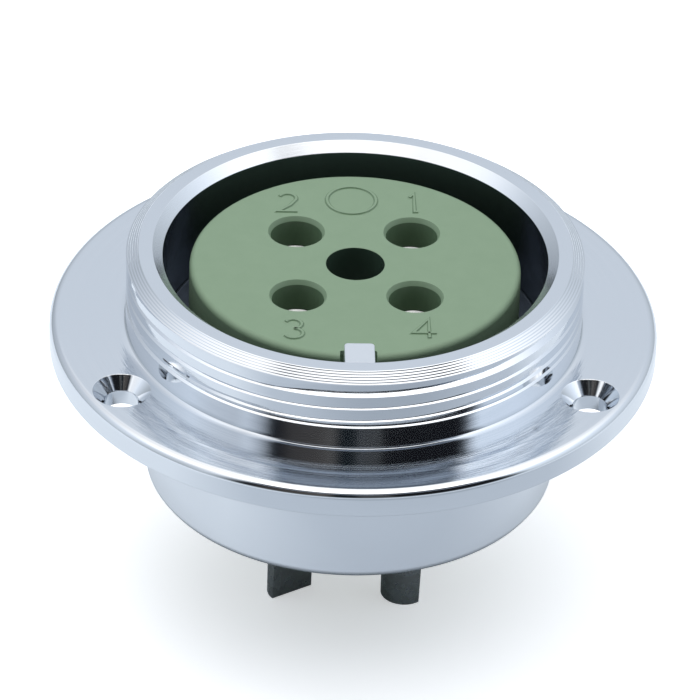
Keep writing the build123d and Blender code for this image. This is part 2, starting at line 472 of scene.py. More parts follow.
@dataclass(frozen=True)
class MouldedRubber:
    """Black nitrile rubber, cut from a moulded sheet: matt, with a fine bloom.

    Attributes:
        name: The material's name.
        colour: Body colour.
        bloom: Colour of the bloom.
        roughness: Blur of the surface.
        bloom_mm: Size of the bloom's patches.
        relief_mm: Unevenness of the skin.
    """

    name: str = "nitrile_rubber"
    colour: str = "#1e1f20"
    bloom: str = "#2c2d2e"
    roughness: float = 0.75
    bloom_mm: float = 0.6
    relief_mm: float = 0.02

    def material(self) -> bpy.types.Material:
        """Builds the finish.

        Returns:
            The material.
        """
        material, tree, shader = start_material(self.name)
        place = add_node(tree, "ShaderNodeTexCoord").outputs["Object"]
        dust = add_node(
            tree, "ShaderNodeTexNoise", {"Vector": place, "Scale": 1 / (self.bloom_mm * MM), "Detail": 6.0}
        )
        blend = add_node(tree, "ShaderNodeMix", {"Factor": dust.outputs["Fac"]}, data_type="RGBA")
        blend.inputs[6].default_value = linear(self.colour)
        blend.inputs[7].default_value = linear(self.bloom)
        bump = add_node(
            tree,
            "ShaderNodeBump",
            {"Height": dust.outputs["Fac"], "Distance": self.relief_mm * MM, "Strength": 0.4},
        )
        tree.links.new(blend.outputs[2], shader.inputs["Base Color"])
        tree.links.new(bump.outputs[0], shader.inputs["Normal"])
        shader.inputs["Roughness"].default_value = self.roughness
        return material


WALL = DrawnMetal(
    # Darker plate on the mouth's turned wall: painted shade, standing for the shade deep in the mouth
    name="mouth_wall_painted_shade",
    tint="#858c96",
    stain="#757c85",
    roughness=0.12,
    line_mm=0.2,
    line_height_mm=0.001,
)
SEAT = DrawnMetal(
    # Dark tint on the seat and web: painted shade for the deep gap round the insert, with patches of a darker
    # tone
    name="seat_painted_shade",
    tint="#68707a",
    stain="#545c66",
    roughness=0.4,
    line_mm=0.2,
    line_height_mm=0.002,
)
SILVER = DrawnMetal(
    # Turned brass under silver plate that has dulled: grey, with browner tarnish in patches
    name="silver_plate_on_turned_brass",
    tint="#b9bdbd",
    stain="#96958f",
    roughness=0.22,
    line_mm=0.14,
    line_height_mm=0.002,
)
HOOD = DrawnMetal(
    # Stainless strip drawn to a thin sleeve: bright, with long faint draw lines
    name="drawn_stainless_sleeve",
    tint="#b4b7b7",
    stain="#a0a3a2",
    roughness=0.10,
    line_mm=0.25,
    line_height_mm=0.001,
)
ZINC = DrawnMetal(
    # Bright zinc on machined steel: bluish white, with a slightly cloudy passivation
    name="bright_zinc_plate",
    tint="#c3c8cc",
    stain="#a8aeb0",
    roughness=0.28,
    line_mm=0.2,
    line_height_mm=0.002,
)
SPRING = DrawnMetal(
    # Spring steel strip, hardened and oiled: dark blue-grey
    name="oiled_spring_steel",
    tint="#6a6d70",
    stain="#484846",
    roughness=0.34,
    line_mm=0.18,
    line_height_mm=0.002,
)


# Mesh helpers


def smooth_step(value: float, low: float, high: float) -> float:
    """A smooth ramp from 0 at low to 1 at high."""
    t = min(1.0, max(0.0, (value - low) / (high - low)))
    return t * t * (3 - 2 * t)


def rounded(corners: list[tuple[float, float, float]], steps: int = 3) -> list[ProfilePoint]:
    """An open profile whose inner corners are replaced by arcs.

    Args:
        corners: Radius, height and corner rounding of each point, in millimetres.
        steps: Spans in each arc.

    Returns:
        Radius and height of each point of the finished profile.
    """
    points: list[ProfilePoint] = []
    for number, (r, z, rounding) in enumerate(corners):
        if rounding == 0 or number in (0, len(corners) - 1):
            points.append((r, z))
            continue
        corner = Vector((r, z))
        before = (Vector(corners[number - 1][:2]) - corner).normalized()
        after = (Vector(corners[number + 1][:2]) - corner).normalized()
        half = before.angle(after) / 2
        reach = rounding / math.tan(half)
        centre = corner + (before + after).normalized() * (rounding / math.sin(half))
        start = corner + before * reach - centre
        end = corner + after * reach - centre
        sweep = math.pi - 2 * half
        for k in range(steps + 1):
            share = k / steps
            a = math.sin((1 - share) * sweep) / math.sin(sweep)
            b = math.sin(share * sweep) / math.sin(sweep)
            point = centre + start * a + end * b
            points.append((point.x, point.y))
    return points


def blunt_end(half: float, reach: float, corner: float, spans: int) -> list[ProfilePoint]:
    """The end of a bar that points from the -Y side to the axis, with two rounded corners.

    Args:
        half: Half of the bar's width, in millimetres.
        reach: Distance from the axis to its end.
        corner: Rounding of the corners.
        spans: Spans in each corner.

    Returns:
        X and Y of each point, from the -X side to the +X side.
    """
    points = []
    for side, start in ((-1, 180.0), (1, 90.0)):
        for k in range(spans + 1):
            turn = math.radians(start - 90.0 * k / spans)
            x = side * (half - corner) + corner * math.cos(turn)
            points.append((x, -reach - corner + corner * math.sin(turn)))
    return points


class RingMesh:
    """A mesh built from closed rings of points, joined or filled in turn."""

    def __init__(self) -> None:
        """Starts with nothing."""
        self.bm = bmesh.new()
        self.crease = math.radians(26)

    def ring(self, points: list[tuple[float, float, float]]) -> Ring:
        """Adds a closed ring of points, in millimetres."""
        return [self.bm.verts.new(Vector(p) * MM) for p in points]

    def circle(self, radius: float, height: float, steps: int, centre: ProfilePoint = (0.0, 0.0)) -> Ring:
        """Adds a level circle.

        Args:
            radius: Its radius in millimetres.
            height: Its height in millimetres.
            steps: How many points it has.
            centre: Where its centre stands.

        Returns:
            The ring.
        """
        turns = [2 * math.pi * k / steps for k in range(steps)]
        return self.ring(
            [(centre[0] + radius * math.cos(t), centre[1] + radius * math.sin(t), height) for t in turns]
        )

    def join(self, first: Ring, second: Ring) -> None:
        """Joins two rings of as many points by a band of quads.

        Args:
            first: One ring.
            second: The other, whose points stand in the same order.
        """
        count = len(first)
        for k in range(count):
            n = (k + 1) % count
            self.bm.faces.new((first[k], first[n], second[n], second[k]))

    def join_all(self, rings: list[Ring]) -> None:
        """Joins each ring to the next."""
        for first, second in zip(rings, rings[1:]):
            self.join(first, second)

    def turn(self, profile: list[ProfilePoint], steps: int, centre: ProfilePoint = (0.0, 0.0)) -> list[Ring]:
        """Turns a profile about an upright line.

        Args:
            profile: Radius and height of each point.
            steps: Points in each ring.
            centre: Where the line stands.

        Returns:
            The joined rings, in the profile's order.
        """
        rings = [self.circle(r, z, steps, centre) for r, z in profile]
        self.join_all(rings)
        return rings

    def fill(self, *loops: Ring) -> None:
        """Fills a flat face.

        Args:
            *loops: The ring that bounds it, then those of its holes.
        """
        edges = []
        for loop in loops:
            for k, vert in enumerate(loop):
                other = loop[(k + 1) % len(loop)]
                edge = self.bm.edges.get((vert, other)) or self.bm.edges.new((vert, other))
                edges.append(edge)
        bmesh.ops.triangle_fill(self.bm, use_beauty=True, use_dissolve=False, edges=edges)

    def paint(self, index: int, radii: Span, heights: Span) -> None:
        """Gives another of the materials to faces within a range of radius and height.

        Args:
            radii: Least and greatest distance from the axis, in millimetres.
            heights: Least and greatest height, in millimetres.
        """
        for face in self.bm.faces:
            middle = face.calc_center_median() / MM
            if radii[0] < middle.xy.length < radii[1] and heights[0] < middle.z < heights[1]:
                face.material_index = index

    def finish(self, name: str, materials: list[bpy.types.Material]) -> bpy.types.Object:
        """Closes the mesh and makes the object that rides on the frame.

        Args:
            name: The object's name.
            materials: Its materials, the first one for faces that name none.

        Returns:
            The new object.
        """
        bmesh.ops.remove_doubles(self.bm, verts=self.bm.verts, dist=WELD)
        bmesh.ops.dissolve_degenerate(self.bm, edges=self.bm.edges, dist=SLIVER)
        bmesh.ops.recalc_face_normals(self.bm, faces=self.bm.faces)
        self.bm.normal_update()
        for face in self.bm.faces:
            face.smooth = True
        for edge in self.bm.edges:
            edge.smooth = edge.calc_face_angle(0.0) < self.crease
        mesh = bpy.data.meshes.new(name)
        self.bm.to_mesh(mesh)
        self.bm.free()
        for material in materials:
            mesh.materials.append(material)
        piece = bpy.data.objects.new(name, mesh)
        bpy.context.scene.collection.objects.link(piece)
        weighted = piece.modifiers.new("flat_faces_stay_flat", "WEIGHTED_NORMAL")
        weighted.mode = "FACE_AREA"
        weighted.weight = 80
        weighted.keep_sharp = True
        LOG.info("%s: %d faces", name, len(mesh.polygons))
        return piece


# Shell


@dataclass
class CouplingThread:
    """The coupling thread: broad leaning crests with a stepped groove between them, right-handed.

    From its lower edge each groove slopes in as a ledge, stands as a wall that leans like the crests,
    and comes out again under the next crest. Heights are above the flange's front.

    Attributes:
        crest_radius: Radius over the crests.
        pitch: Rise in one turn.
        depth: Depth of the ledge at the sides and the back.
        front_depth: Depth of the ledge in front, where the polishing wheel has worn the crests.
        wide_depth: Depth of the ledge in the last turn, where the tool came in.
        ledge_rise: Rise of the ledge for each unit of its depth.
        top: Height of the next crest above the groove's lower edge.
        wide_top: The same in the last turn.
        edge_height: Height of the groove's lower edge at the reference angle, in its last turn.
        reference_angle: Angle from +X where that height holds, in degrees.
        first_angle: Where the groove starts, counted through the turns.
        last_angle: Where the groove ends.
        low: Lower end of the threaded stretch.
        high: Upper end of the threaded stretch.
        crest_slope: How far each crest leans in for each unit of its height.
        corner: Height of the slope by which the groove comes out under the next crest.
        worn_from: Angles over which the wear in front begins.
        worn_to: Angles over which it ends.
        wide_from: Angles over which the last turn's groove becomes wide.
        run_in: Angle over which the groove deepens at its start.
        run_out: Angle over which it ends.
    """

    crest_radius: float = 30.0
    pitch: float = 1.91
    depth: float = 0.34
    front_depth: float = 0.22
    wide_depth: float = 0.65
    ledge_rise: float = 0.8
    top: float = 0.86
    wide_top: float = 1.75
    edge_height: float = 7.76
    reference_angle: float = 271.0
    first_angle: float = -530.0
    last_angle: float = 560.0
    low: float = 3.62
    high: float = 9.80
    crest_slope: float = 0.118
    corner: float = 0.1
    worn_from: Span = (238.0, 252.0)
    worn_to: Span = (275.0, 302.0)
    wide_from: Span = (243.0, 262.0)
    run_in: float = 60.0
    run_out: float = 14.0

    def edge(self, through: float) -> float:
        """Height of the groove's lower edge at an angle counted through the turns."""
        return self.edge_height + self.pitch * (through - self.reference_angle) / 360

    def groove(self, through: float) -> list[ProfilePoint]:
        """The groove at an angle counted through the turns.

        Args:
            through: The angle in degrees.

        Returns:
            Height above the lower edge and distance in from the crests, of each of its four corners.
        """
        angle = through % 360
        worn = smooth_step(angle, *self.worn_from) * (1 - smooth_step(angle, *self.worn_to))
        wide = smooth_step(through, *self.wide_from)
        depth = self.depth + (self.front_depth - self.depth) * worn
        depth += (self.wide_depth - depth) * wide
        top = self.top + (self.wide_top - self.top) * wide
        below = self.top + (self.wide_top - self.top) * smooth_step(through - 360, *self.wide_from)
        lean = self.crest_slope * (self.pitch - below)
        rise = self.ledge_rise * depth
        fade = smooth_step(through, self.first_angle, self.first_angle + self.run_in)
        fade *= 1 - smooth_step(through, self.last_angle - self.run_out, self.last_angle)
        bend = top - self.corner
        corners = []
        for height, inward in (
            (0.0, lean),
            (rise, lean + depth),
            (bend, lean + depth + self.crest_slope * (bend - rise)),
            (top, 0.0),
        ):
            corners.append((height, inward * fade + lean * (1 - height / top) * (1 - fade)))
        return corners

    def heights(self, through: float) -> list[float]:
        """Heights of the mesh's rows over one pitch.

        Args:
            through: An angle in degrees, counted through the turns.

        Returns:
            The heights of the groove's corners, then of two rows on the crest above it.
        """
        corners = [height for height, _ in self.groove(through)]
        crest = (self.pitch - corners[-1]) / 3
        steps = corners + [corners[-1] + crest, corners[-1] + 2 * crest]
        return [self.edge(through) + step for step in steps]

    def radius(self, height: float, angle: float) -> float:
        """Radius of the threaded surface.

        Args:
            height: Height above the flange's front.
            angle: Angle from +X within one turn, in degrees.

        Returns:
            The radius in millimetres.
        """
        turns = math.floor((height + 1e-6 - self.edge(angle)) / self.pitch)
        through = angle + 360 * turns
        above = max(0.0, height - self.edge(through))
        corners = self.groove(through)
        for (low, inner), (high, outer) in zip(corners, corners[1:]):
            if above <= high:
                return self.crest_radius - inner - (outer - inner) * (above - low) / (high - low)
        return self.crest_radius - self.crest_slope * (above - corners[-1][0])


class Skin(IntEnum):
    """Where the shell's finishes stand in its list of materials."""

    TURNED = 0
    WALL = 1
    SEAT = 2
    FACED = 3
    BORED = 4


@dataclass
class Shell:
    """Flange, threaded barrel, key and skirt: one casting, turned and chrome plated.

    Attributes:
        flange_radius: Outer radius of the flange.
        flange_front: Height of the flange's front face.
        barrel_radius: Radius over the thread.
        mouth_top: Height of the barrel's front.
        mouth_radius: Inner radius of the mouth.
        mouth_floor: Height of the mouth's floor.
        web_radius: Inner radius of the seat web.
        web_rear: Height of the seat web's rear face.
        bevel_width: Width of the bevel in the mouth.
        bevel_height: Height of that bevel.
        lead_width: Width of the lead chamfer outside.
        lead_height: Height of that chamfer.
        ridges: Turning ridges on the lead chamfer. The real cutter leaves about twice as many.
        ridge_height: Their height from the middle.
        relief_depth: Depth of the relief below the thread.
        relief_heights: Heights of its four corners above the flange, from the top.
        foot_rounding: Rounding where the barrel stands on the flange.
        skirt_radius: Outer radius of the skirt.
        skirt_end: Height of the skirt's end.
        rear_bore_radius: Inner radius of the skirt.
        groove_radius: Radius of the retaining ring's groove.
        groove_low: Lower edge of that groove.
        groove_high: Upper edge of that groove.
        screw_circle_radius: Radius of the circle of screw holes.
        screw_hole_radius: Radius of a screw hole.
        countersink_radius: Radius of its countersink.
        support: Distance from an edge to the ring of points that keeps the shading beside it straight.
        screw_angles: Where the screw holes stand, in degrees from +X.
        key_width: Width of the key.
        key_inner_radius: Distance from the axis to the key's face.
        key_corner: Rounding of the key's corners.
        key_edge: Size of the blunt edge round the key's top.
        key_steps: Spans across the key, where it meets the round wall.
        lug_inner_radius: Distance from the axis to the lug on the web.
        steps: Points round each turned ring.
        hole_steps: Points round each screw hole.
    """

    flange_radius: float = 40.0
    flange_front: float = 3.6
    barrel_radius: float = 30.0
    mouth_top: float = 14.5
    mouth_radius: float = 25.2
    mouth_floor: float = 0.9
    web_radius: float = 21.95
    web_rear: float = -2.1
    bevel_width: float = 1.36
    bevel_height: float = 1.2
    lead_width: float = 1.6
    lead_height: float = 1.1
    ridges: int = 5
    ridge_height: float = 0.021
    relief_depth: float = 0.42
    relief_heights: tuple[float, ...] = (3.62, 3.52, 3.34, 3.06)
    foot_rounding: float = 0.34
    skirt_radius: float = 27.2
    skirt_end: float = -19.1
    rear_bore_radius: float = 24.8
    groove_radius: float = 25.7
    groove_low: float = -13.6
    groove_high: float = -12.0
    screw_circle_radius: float = 35.0
    screw_hole_radius: float = 2.2
    countersink_radius: float = 3.775
    support: float = 0.06
    screw_angles: tuple[float, ...] = (90.0, 210.0, 330.0)
    key_width: float = 3.9
    key_inner_radius: float = 22.05
    key_corner: float = 0.5
    key_edge: float = 0.14
    key_steps: int = 8
    lug_inner_radius: float = 20.5
    steps: int = 384
    hole_steps: int = 96

    def mouth_profile(self) -> list[ProfilePoint]:
        """The mouth, from the web's rear inner edge to the lead chamfer.

        Returns:
            Radius and height of each point.
        """
        ring_outer = self.barrel_radius - self.lead_width
        corners = [
            (self.web_radius, self.web_rear, 0.0),
            (self.web_radius, self.mouth_floor, 0.15),
            (self.mouth_radius, self.mouth_floor, 0.3),
            (self.mouth_radius, self.mouth_top - self.bevel_height, 0.12),
            (self.mouth_radius + self.bevel_width, self.mouth_top, 0.10),
            (ring_outer, self.mouth_top, 0.07),
            (self.barrel_radius, self.mouth_top - self.lead_height, 0.0),
        ]
        return rounded(corners)[:-1]

    def ridged_chamfer(self) -> list[ProfilePoint]:
        """The lead chamfer with its turning ridges, down to the thread's upper end.

        Returns:
            Radius and height of each point.
        """
        # It starts where the rounding of the ring's outer edge has ended
        start = Vector((self.barrel_radius - self.lead_width + 0.06, self.mouth_top - 0.04))
        end = Vector((self.barrel_radius, self.mouth_top - self.lead_height))
        along = end - start
        outward = Vector((-along.y, along.x)).normalized()
        points_in_ridge = 8
        count = self.ridges * points_in_ridge
        points = []
        for k in range(1, count + 1):
            share = k / count
            lift = self.ridge_height * (math.cos(2 * math.pi * self.ridges * share) - 1)
            point = start + along * share + outward * lift
            points.append((point.x, point.y))
        return points

    def foot_profile(self) -> list[ProfilePoint]:
        """The relief below the thread, its step, the plain band and the foot on the flange.

        Returns:
            Radius and height of each point.
        """
        base = self.flange_front
        r = self.barrel_radius
        top, upper, lower, step = self.relief_heights
        corners = [
            (r, base + top, 0.0),
            (r - self.relief_depth, base + upper, 0.04),
            (r - self.relief_depth, base + lower, 0.04),
            (r, base + step, 0.07),
            (r, base, self.foot_rounding),
            (r + 0.9, base, 0.0),
        ]
        return rounded(corners)[1:]

    def thread_rings(self, mesh: RingMesh, thread: CouplingThread) -> tuple[Ring, Ring]:
        """The threaded surface, whose rows follow the helix between two level rings.

        Args:
            mesh: The mesh that gets the rows.
            thread: The thread's sizes.

        Returns:
            Its top ring and its bottom ring.
        """
        columns: list[list[bmesh.types.BMVert]] = []
        for step in range(self.steps + 1):
            angle = 360.0 * step / self.steps
            turn = math.radians(angle)
            column = []
            # Six turns of rows reach past both ends, and the rows past an end lie on it
            for number in range(-3, 3):
                for row in thread.heights(angle + 360 * number):
                    height = min(thread.high, max(thread.low, row))
                    r = thread.radius(height, angle)
                    point = Vector((r * math.cos(turn), r * math.sin(turn), self.flange_front + height))
                    column.append(mesh.bm.verts.new(point * MM))
            columns.append(column)
        for step in range(self.steps):
            for k in range(len(columns[0]) - 1):
                a, b = columns[step], columns[step + 1]
                mesh.bm.faces.new((a[k], b[k], b[k + 1], a[k + 1]))
        top = [columns[step][-1] for step in range(self.steps)]
        bottom = [columns[step][0] for step in range(self.steps)]
        LOG.info("thread: %d rows", len(columns[0]))
        return top, bottom

    def screw_hole_corners(self) -> list[tuple[float, float, float]]:
        """A screw hole with its countersink, from the flange's front to its rear.

        Returns:
            Radius, height and rounding of each corner.
        """
        sink = self.countersink_radius - self.screw_hole_radius
        return [
            (self.countersink_radius + self.support, self.flange_front, 0.0),
            (self.countersink_radius, self.flange_front, 0.05),
            (self.countersink_radius - self.support, self.flange_front - self.support, 0.0),
            (self.screw_hole_radius + 0.1, self.flange_front - sink + 0.1, 0.0),
            (self.screw_hole_radius, self.flange_front - sink, 0.12),
            (self.screw_hole_radius, 0.0, 0.08),
            (self.screw_hole_radius + 0.12, 0.0, 0.0),
        ]

    def paint_skins(self, mesh: RingMesh) -> None:
        """Gives the mouth, the bevel and the flange's face their own finishes.

        Args:
            mesh: The casting's mesh.
        """
        wall = (self.mouth_radius - 0.1, self.mouth_radius + 0.03)
        bevel = (self.mouth_radius + 0.03, self.mouth_radius + self.bevel_width)
        bevel_foot = self.mouth_top - self.bevel_height
        face = (self.barrel_radius + 0.35, self.flange_radius - 1.0)
        face_heights = (self.flange_front - 0.05, self.flange_front + 0.05)
        # The mouth's wall takes the darker finish, which is painted shade
        mesh.paint(Skin.WALL, wall, (self.mouth_floor, bevel_foot))
        # The seat and web take the dark finish, which is painted shade
        mesh.paint(Skin.SEAT, (0.0, self.mouth_radius), (self.web_rear, self.mouth_floor + 0.2))
        mesh.paint(Skin.BORED, bevel, (bevel_foot, self.mouth_top - 0.02))
        mesh.paint(Skin.FACED, face, face_heights)

    def build(self, materials: list[bpy.types.Material]) -> bpy.types.Object:
        """Builds the casting as one closed mesh.

        Args:
            materials: Its finishes, in the order that Skin gives.

        Returns:
            The object that stands for the shell.
        """
        mesh = RingMesh()
        thread = CouplingThread()
        web = mesh.turn(self.mouth_profile() + self.ridged_chamfer(), self.steps)
        top, bottom = self.thread_rings(mesh, thread)
        mesh.join(web[-1], top)
        foot = mesh.turn(self.foot_profile(), self.steps)
        mesh.join(bottom, foot[0])

        rim_corners = [
            (self.flange_radius - 1.2, self.flange_front, 0.0),
            (self.flange_radius, self.flange_front, 1.15),
            (self.flange_radius, 0.0, 0.2),
            (self.flange_radius - 0.6, 0.0, 0.0),
        ]
        rim = mesh.turn(rounded(rim_corners, steps=7), self.steps)
        front_holes, rear_holes = [], []
        for angle in self.screw_angles:
            turn = math.radians(angle)
            centre = (self.screw_circle_radius * math.cos(turn), self.screw_circle_radius * math.sin(turn))
            hole = mesh.turn(rounded(self.screw_hole_corners()), self.hole_steps, centre)
            front_holes.append(hole[0])
            rear_holes.append(hole[-1])
        mesh.fill(rim[0], foot[-1], *front_holes)

        skirt_corners = [
            (self.skirt_radius + 0.4, 0.0, 0.0),
            (self.skirt_radius, 0.0, 0.2),
            (self.skirt_radius, self.skirt_end, 1.2),
            (self.rear_bore_radius + 0.5, self.skirt_end, 0.06),
            (self.rear_bore_radius, self.skirt_end + 0.5, 0.06),
            (self.rear_bore_radius, self.groove_low, 0.05),
            (self.groove_radius, self.groove_low, 0.1),
            (self.groove_radius, self.groove_high, 0.1),
            (self.rear_bore_radius, self.groove_high, 0.05),
            (self.rear_bore_radius, self.web_rear, 0.15),
            (self.web_radius, self.web_rear, 0.0),
        ]
        skirt = mesh.turn(rounded(skirt_corners, steps=4)[:-1], self.steps)
        mesh.fill(rim[-1], skirt[0], *rear_holes)
        mesh.join(skirt[-1], web[0])
        self.paint_skins(mesh)
        shell = mesh.finish("shell_casting", materials)
        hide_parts("shell")
        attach(shell, BODY)
        return shell

    def build_key(self, materials: list[bpy.types.Material]) -> bpy.types.Object:
        """The polarising key in the mouth and the lug on the web below it.

        Args:
            materials: The finish of the key.

        Returns:
            The object.
        """
        mesh = RingMesh()
        half = self.key_width / 2
        edge = self.key_edge
        bevel_top = self.mouth_radius + self.bevel_width
        levels = []
        # Height, distance from the axis at the key's root, and inset of each level
        wall = [
            (self.mouth_floor, self.mouth_radius, 0.0),
            (self.mouth_top - self.bevel_height, self.mouth_radius, 0.0),
            (self.mouth_top - edge, bevel_top - edge * self.bevel_width / self.bevel_height, 0.0),
            (self.mouth_top - edge * 0.3, bevel_top - 0.04, edge * 0.3),
            (self.mouth_top, bevel_top + 0.03, edge),
        ]
        for height, reach, inset in wall:
            ring = []
            for k in range(self.key_steps + 1):
                x = half - inset - (self.key_width - 2 * inset) * k / self.key_steps
                ring.append((x, -math.sqrt(reach * reach - x * x), height))
            ring.reverse()
            face = []
            for x, y in blunt_end(half, self.key_inner_radius + inset, self.key_corner, 5):
                face.append((x * (half - inset) / half, y, height))
            levels.append(mesh.ring(ring + face[::-1]))
        mesh.join_all(levels)
        mesh.bm.faces.new(levels[-1])
        mesh.bm.faces.new(levels[0])

        low, high = self.web_rear, self.mouth_floor
        rows = []
        for height in (low, high - 0.1, high):
            inset = 0.1 if height == high else 0.0
            inner = self.lug_inner_radius + inset
            x = half - inset
            outer = math.sqrt((self.web_radius + 0.02) ** 2 - x * x)
            plan = [(-x, -outer), (-x, -inner), (x, -inner), (x, -outer)]
            rows.append(mesh.ring([(across, back, height) for across, back in plan]))
        mesh.join_all(rows)
        mesh.bm.faces.new(rows[-1])
        mesh.bm.faces.new(rows[0])
        key = mesh.finish("polarising_key", materials)
        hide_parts("shell")
        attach(key, BODY)
        return key


# Front insulator


@dataclass
class FrontInsulator:
    """The green moulded disc in the mouth, with its holes, notch and raised marks.

    Attributes:
        radius: Radius of the part in the mouth.
        face: Height of its face.
        edge_rounding: Rounding at the face's edge.
        notch_half_width: Half of the notch's width.
        notch_floor: Distance from the axis to the notch's floor.
        notch_corner: Rounding of the notch's corners.
        flange_radius: Radius of the hidden flange.
        flange_front: Height of that flange's front.
        rear: Height of the rear face.
        contact_reach: Distance of each contact's line from both planes through the axis.
        hole_radius: Radius of a contact hole.
        step_width: Width of the steep cone round a contact hole.
        step_depth: Depth of that cone.
        collar_radius: Radius of the rear counterbore.
        collar_front: Height of its floor.
        centre_radius: Radius of the centre hole.
        centre_floor: Height of its floor.
        screw_radius: Radius of the screw's hole.
        mark_width: Width of a raised stroke.
        mark_top: Width of its flat top.
        mark_rim: Width of the darker line round it, which is painted shade.
        mark_height: How far a stroke stands out.
        mark_size: Height of a digit.
        mark_narrowing: Width of a digit as a share of what its strokes give.
        ring_place: Centre of the plain ring mark.
        ring_radius: Its radius.
        outline_steps: Spans of the round part of the outline.
        edge_steps: Spans of the rounding at the face's edge.
        flange_steps: Points round the hidden flange.
        hole_steps: Points round each hole.
        ring_steps: Points round the ring mark.
    """

    radius: float = 21.7
    face: float = 12.1
    edge_rounding: float = 0.8
    notch_half_width: float = 2.4
    notch_floor: float = 20.3
    notch_corner: float = 0.25
    flange_radius: float = 24.6
    flange_front: float = -3.1
    rear: float = -7.1
    contact_reach: float = 7.6
    hole_radius: float = 3.4
    step_width: float = 0.35
    step_depth: float = 0.62
    collar_radius: float = 4.35
    collar_front: float = -5.1
    centre_radius: float = 3.85
    centre_floor: float = 1.1
    screw_radius: float = 2.2
    mark_width: float = 0.5
    mark_top: float = 0.3
    mark_rim: float = 0.09
    mark_height: float = 0.15
    mark_size: float = 4.3
    mark_narrowing: float = 0.86
    ring_place: ProfilePoint = (-0.2, 15.25)
    ring_radius: float = 3.25
    outline_steps: int = 240
    edge_steps: int = 6
    flange_steps: int = 192
    hole_steps: int = 80
    ring_steps: int = 72

    def outline(self, radius: float, height: float) -> list[tuple[float, float, float]]:
        """The notched outline at one level.

        Args:
            radius: Radius of the round part.
            height: The level.

        Returns:
            Points of the outline, from the notch round to the notch.
        """
        half, floor = self.notch_half_width, self.notch_floor
        opening = math.asin(half / radius)
        start, end = -math.pi / 2 + opening, 1.5 * math.pi - opening
        points = []
        for k in range(self.outline_steps + 1):
            turn = start + (end - start) * k / self.outline_steps
            points.append((radius * math.cos(turn), radius * math.sin(turn), height))
        return points + [(x, y, height) for x, y in blunt_end(half, floor, self.notch_corner, 3)]

    def build(self, materials: list[bpy.types.Material]) -> bpy.types.Object:
        """Builds the moulding as one closed mesh.

        Args:
            materials: The moulded finish, then the darker ones of the contact holes and of the centre hole,
                which are painted shade.

        Returns:
            The object that stands for the front insulator.
        """
        mesh = RingMesh()
        levels = [self.outline(self.radius, self.flange_front)]
        for k in range(self.edge_steps + 1):
            turn = math.pi / 2 * k / self.edge_steps
            inset = self.edge_rounding * (1 - math.cos(turn))
            height = self.face - self.edge_rounding * (1 - math.sin(turn))
            levels.append(self.outline(self.radius - inset, height))
        rings = [mesh.ring(level) for level in levels]
        mesh.join_all(rings)

        flange_corners = [
            (self.flange_radius - 0.4, self.flange_front, 0.0),
            (self.flange_radius, self.flange_front, 0.15),
            (self.flange_radius, self.rear, 0.15),
            (self.flange_radius - 0.4, self.rear, 0.0),
        ]
        flange = mesh.turn(rounded(flange_corners), self.flange_steps)
        mesh.fill(flange[0], rings[0])
        wide = self.hole_radius + self.step_width
        hole_corners = [
            (wide + 0.06, self.face, 0.0),
            (wide, self.face, 0.05),
            (self.hole_radius, self.face - self.step_depth, 0.05),
            (self.hole_radius, self.collar_front, 0.0),
            (self.collar_radius, self.collar_front, 0.1),
            (self.collar_radius, self.rear, 0.0),
        ]
        front_holes, rear_holes = [], []
        for x, y in ((1, 1), (-1, 1), (-1, -1), (1, -1)):
            centre = (x * self.contact_reach, y * self.contact_reach)
            hole = mesh.turn(rounded(hole_corners), self.hole_steps, centre)
            front_holes.append(hole[0])
            rear_holes.append(hole[-1])
        centre_corners = [
            (self.centre_radius + 0.08, self.face, 0.0),
            (self.centre_radius, self.face, 0.06),
            (self.centre_radius, self.centre_floor, 0.15),
            (self.screw_radius, self.centre_floor, 0.1),
            (self.screw_radius, self.rear, 0.0),
        ]
        centre_hole = mesh.turn(rounded(centre_corners), self.hole_steps)
        mesh.fill(rings[-1], centre_hole[0], *front_holes)
        mesh.fill(flange[-1], centre_hole[-1], *rear_holes)
        # The face and the outer side keep the first finish, and everything deeper has a glossier, darker one
        # that is painted shade in the holes
        for face in mesh.bm.faces:
            middle = face.calc_center_median() / MM
            if middle.z > self.face - self.step_depth - 0.02 or middle.xy.length > self.radius - 1.0:
                continue
            face.material_index = 2 if middle.xy.length < self.centre_radius + 0.1 else 1
        piece = mesh.finish("front_moulding", materials)
        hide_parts("front_insulator")
        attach(piece, BODY)
        return piece

    def strokes(self) -> dict[str, tuple[ProfilePoint, list[list[ProfilePoint]]]]:
        """The raised digits.

        Returns:
            Each digit's centre in millimetres, and its strokes in units of half its height.
        """

        def arc(x: float, y: float, rx: float, ry: float, start: float, end: float) -> list[ProfilePoint]:
            """Points along part of an ellipse, from one angle in degrees to another."""
            count = 10
            turns = [math.radians(start + (end - start) * k / count) for k in range(count + 1)]
            return [(x + rx * math.cos(t), y + ry * math.sin(t)) for t in turns]

        two = arc(0.0, 0.48, 0.62, 0.52, 155, -18) + [(0.2, -0.28), (-0.66, -1.0), (0.68, -1.0)]
        three = [
            arc(-0.02, 0.5, 0.6, 0.5, 150, -85),
            arc(-0.02, -0.48, 0.66, 0.52, 85, -155),
        ]
        four = [[(0.30, -1.0), (0.30, 1.0), (-0.80, -0.46), (0.82, -0.46)]]
        one = [[(-0.26, 0.62), (0.04, 1.0), (0.04, -1.0), (0.3, -1.0)]]
        return {
            "digit_1": ((8.04, 14.74), one),
            "digit_2": ((-8.67, 14.52), [two]),
            "digit_3": ((-8.25, -15.45), three),
            "digit_4": ((8.65, -15.10), four),
        }

    def raise_stroke(self, mesh: RingMesh, points: list[ProfilePoint], closed: bool) -> None:
        """Lays a low ridge with sloping sides along a line on the face.

        Args:
            mesh: The mesh that gets the ridge.
            points: The line, in millimetres.
            closed: Whether the line runs back to its start.
        """
        foot, top = self.mark_width / 2, self.mark_top / 2
